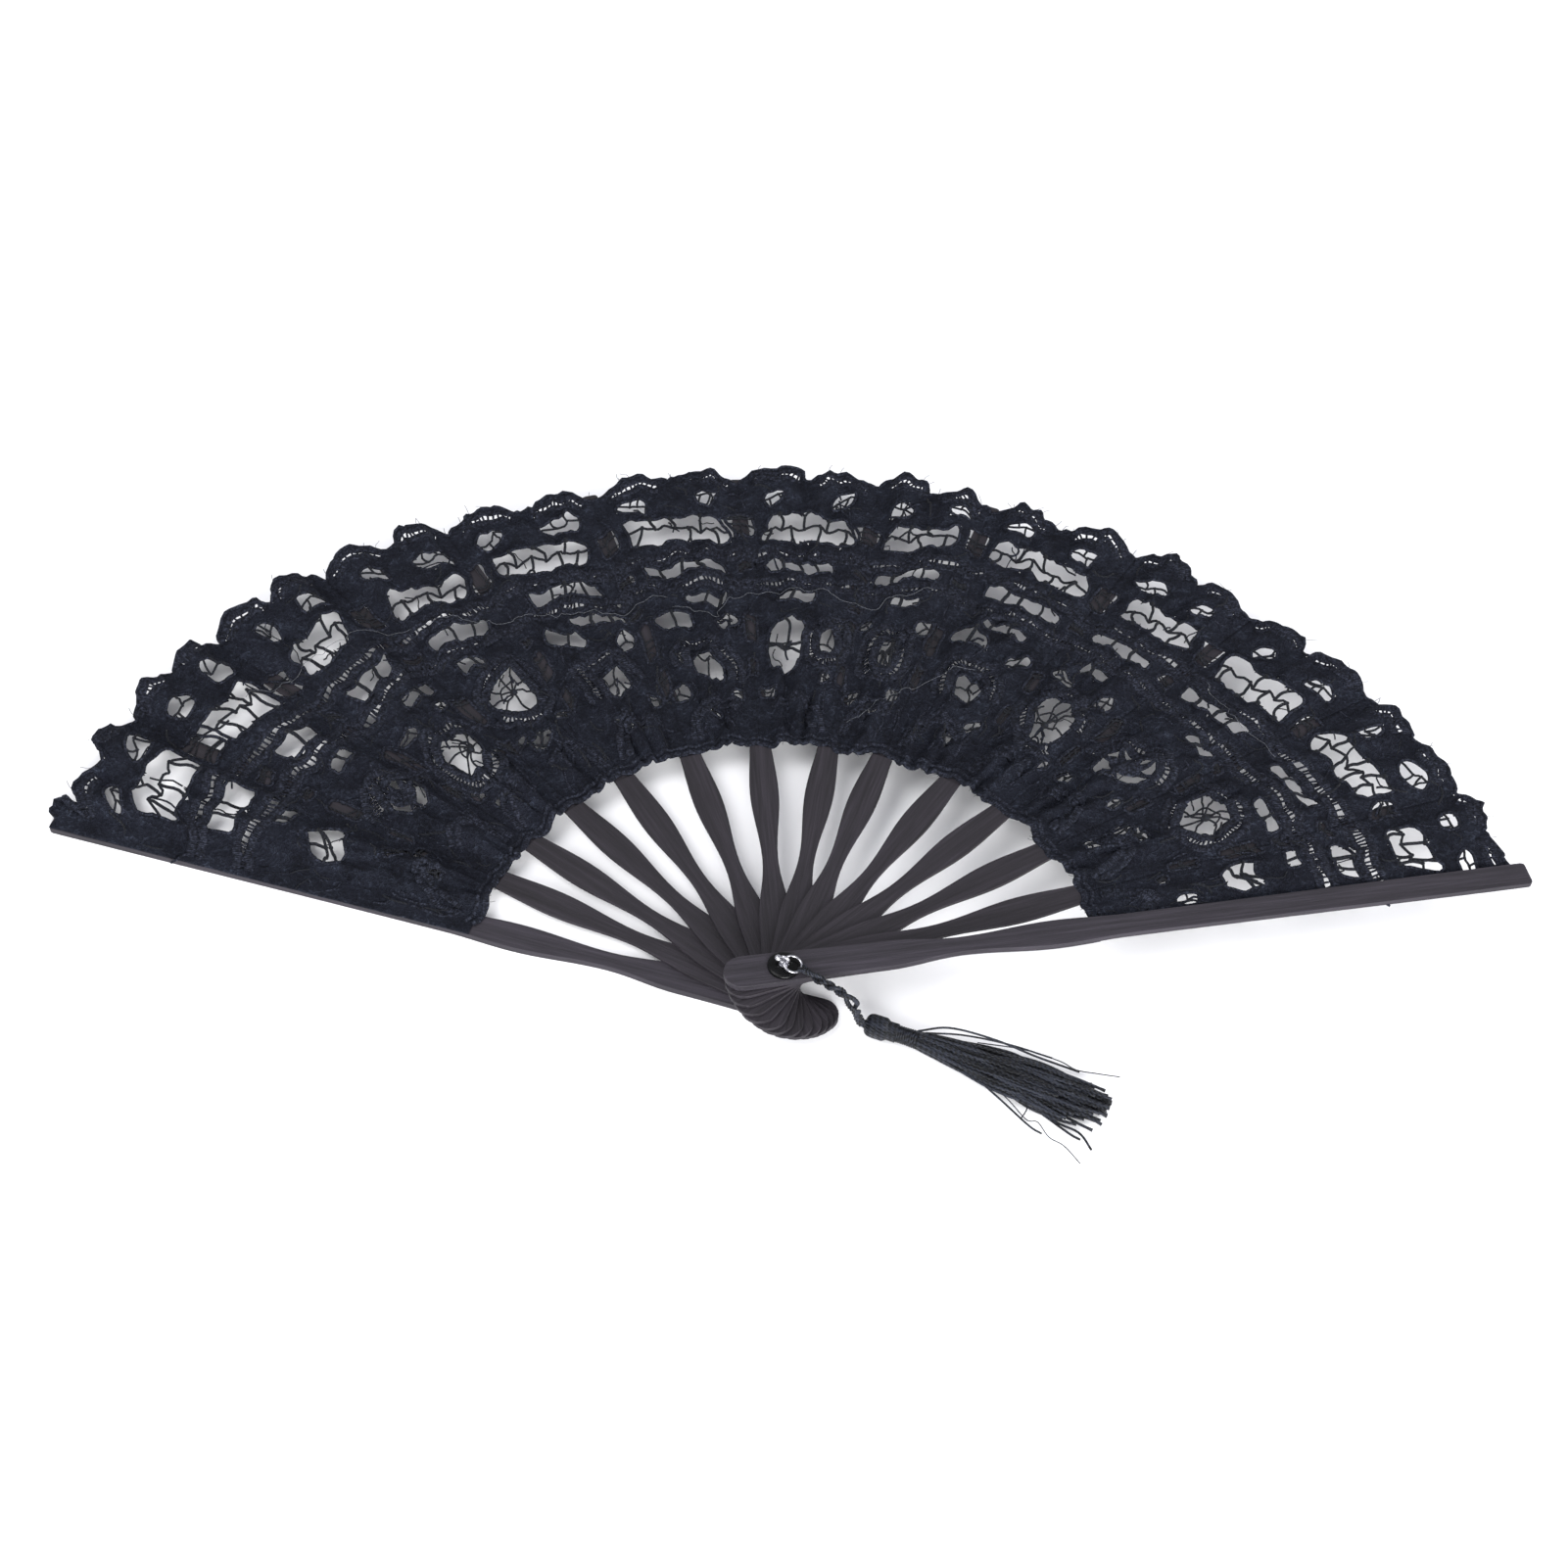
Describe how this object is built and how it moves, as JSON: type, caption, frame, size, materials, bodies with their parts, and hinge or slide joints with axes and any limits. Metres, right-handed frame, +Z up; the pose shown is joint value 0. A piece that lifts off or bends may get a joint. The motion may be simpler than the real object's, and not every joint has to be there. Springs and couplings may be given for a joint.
{
  "type": "hand fan",
  "caption": "Open folding hand fan: slim sticks on one pivot pin, a black lace leaf between two guards, and a tassel on a ring.",
  "frame": {"origin": "on the pivot axis, in the plane that the fan lies on", "axes": "+Z up along the pivot pin, +Y along the middle line of the open fan, +X towards the front guard"},
  "size_m": [0.4168, 0.2427, 0.0229],
  "materials": {
    "ribs": "matte dark stain with fine lengthwise grain",
    "guards": "matte dark stain with fine lengthwise grain, slightly worn edges",
    "lace": "black gathered tape lace",
    "metal": "bright plated wire",
    "washer": "glossy black",
    "tassel": "silky black yarn"
  },
  "bodies": {
    "rear_guard": {"rear_guard": "guards"},
    "rib_02": {"rib_02": "ribs", "leaf_panel_01": "lace"},
    "rib_03": {"rib_03": "ribs", "leaf_panel_02": "lace"},
    "rib_04": {"rib_04": "ribs", "leaf_panel_03": "lace"},
    "rib_05": {"rib_05": "ribs", "leaf_panel_04": "lace"},
    "rib_06": {"rib_06": "ribs", "leaf_panel_05": "lace"},
    "rib_07": {"rib_07": "ribs", "leaf_panel_06": "lace"},
    "rib_08": {"rib_08": "ribs", "leaf_panel_07": "lace"},
    "rib_09": {"rib_09": "ribs", "leaf_panel_08": "lace"},
    "rib_10": {"rib_10": "ribs", "leaf_panel_09": "lace"},
    "rib_11": {"rib_11": "ribs", "leaf_panel_10": "lace"},
    "rib_12": {"rib_12": "ribs", "leaf_panel_11": "lace"},
    "rib_13": {"rib_13": "ribs", "leaf_panel_12": "lace"},
    "front_guard": {"front_guard": "guards", "leaf_panel_13": "lace"},
    "eye_pin": {"eye_pin": "metal", "pivot_washer": "washer"},
    "ring_and_tassel": {"jump_ring": "metal", "tassel_cord": "tassel", "tassel_head": "tassel", "tassel_neck": "tassel", "tassel_skirt": "tassel"}
  },
  "joints": [
    {"name": "rib_02_fold", "type": "hinge", "parent": "rear_guard", "child": "rib_02", "pos_m": [0, 0, 0], "axis": [0, 0, 1], "range_deg": [0, 11]},
    {"name": "rib_03_fold", "type": "hinge", "parent": "rib_02", "child": "rib_03", "pos_m": [0, 0, 0], "axis": [0, 0, 1], "range_deg": [0, 10]},
    {"name": "rib_04_fold", "type": "hinge", "parent": "rib_03", "child": "rib_04", "pos_m": [0, 0, 0], "axis": [0, 0, 1], "range_deg": [0, 11]},
    {"name": "rib_05_fold", "type": "hinge", "parent": "rib_04", "child": "rib_05", "pos_m": [0, 0, 0], "axis": [0, 0, 1], "range_deg": [0, 11.5]},
    {"name": "rib_06_fold", "type": "hinge", "parent": "rib_05", "child": "rib_06", "pos_m": [0, 0, 0], "axis": [0, 0, 1], "range_deg": [0, 13.5]},
    {"name": "rib_07_fold", "type": "hinge", "parent": "rib_06", "child": "rib_07", "pos_m": [0, 0, 0], "axis": [0, 0, 1], "range_deg": [0, 13.5]},
    {"name": "rib_08_fold", "type": "hinge", "parent": "rib_07", "child": "rib_08", "pos_m": [0, 0, 0], "axis": [0, 0, 1], "range_deg": [0, 13]},
    {"name": "rib_09_fold", "type": "hinge", "parent": "rib_08", "child": "rib_09", "pos_m": [0, 0, 0], "axis": [0, 0, 1], "range_deg": [0, 10.5]},
    {"name": "rib_10_fold", "type": "hinge", "parent": "rib_09", "child": "rib_10", "pos_m": [0, 0, 0], "axis": [0, 0, 1], "range_deg": [0, 14]},
    {"name": "rib_11_fold", "type": "hinge", "parent": "rib_10", "child": "rib_11", "pos_m": [0, 0, 0], "axis": [0, 0, 1], "range_deg": [0, 12]},
    {"name": "rib_12_fold", "type": "hinge", "parent": "rib_11", "child": "rib_12", "pos_m": [0, 0, 0], "axis": [0, 0, 1], "range_deg": [0, 12.5]},
    {"name": "rib_13_fold", "type": "hinge", "parent": "rib_12", "child": "rib_13", "pos_m": [0, 0, 0], "axis": [0, 0, 1], "range_deg": [0, 12]},
    {"name": "front_guard_fold", "type": "hinge", "parent": "rib_13", "child": "front_guard", "pos_m": [0, 0, 0], "axis": [0, 0, 1], "range_deg": [0, 9]},
    {"name": "pin_swivel", "type": "hinge", "parent": "rear_guard", "child": "eye_pin", "pos_m": [0, 0, 0], "axis": [0, 0, 1], "range_deg": [-135, 5]},
    {"name": "ring_swing", "type": "hinge", "parent": "eye_pin", "child": "ring_and_tassel", "pos_m": [0, 0, 0.0213], "axis": [-0.2924, -0.9563, 0], "range_deg": [0, 70]}
  ],
  "couplings": [
    {"joint": "rib_03_fold", "follows": "rib_02_fold", "ratio": 0.909},
    {"joint": "rib_04_fold", "follows": "rib_02_fold", "ratio": 1},
    {"joint": "rib_05_fold", "follows": "rib_02_fold", "ratio": 1.0454},
    {"joint": "rib_06_fold", "follows": "rib_02_fold", "ratio": 1.2272},
    {"joint": "rib_07_fold", "follows": "rib_02_fold", "ratio": 1.2272},
    {"joint": "rib_08_fold", "follows": "rib_02_fold", "ratio": 1.1818},
    {"joint": "rib_09_fold", "follows": "rib_02_fold", "ratio": 0.9545},
    {"joint": "rib_10_fold", "follows": "rib_02_fold", "ratio": 1.2727},
    {"joint": "rib_11_fold", "follows": "rib_02_fold", "ratio": 1.0909},
    {"joint": "rib_12_fold", "follows": "rib_02_fold", "ratio": 1.1363},
    {"joint": "rib_13_fold", "follows": "rib_02_fold", "ratio": 1.0909},
    {"joint": "front_guard_fold", "follows": "rib_02_fold", "ratio": 0.8181}
  ]
}
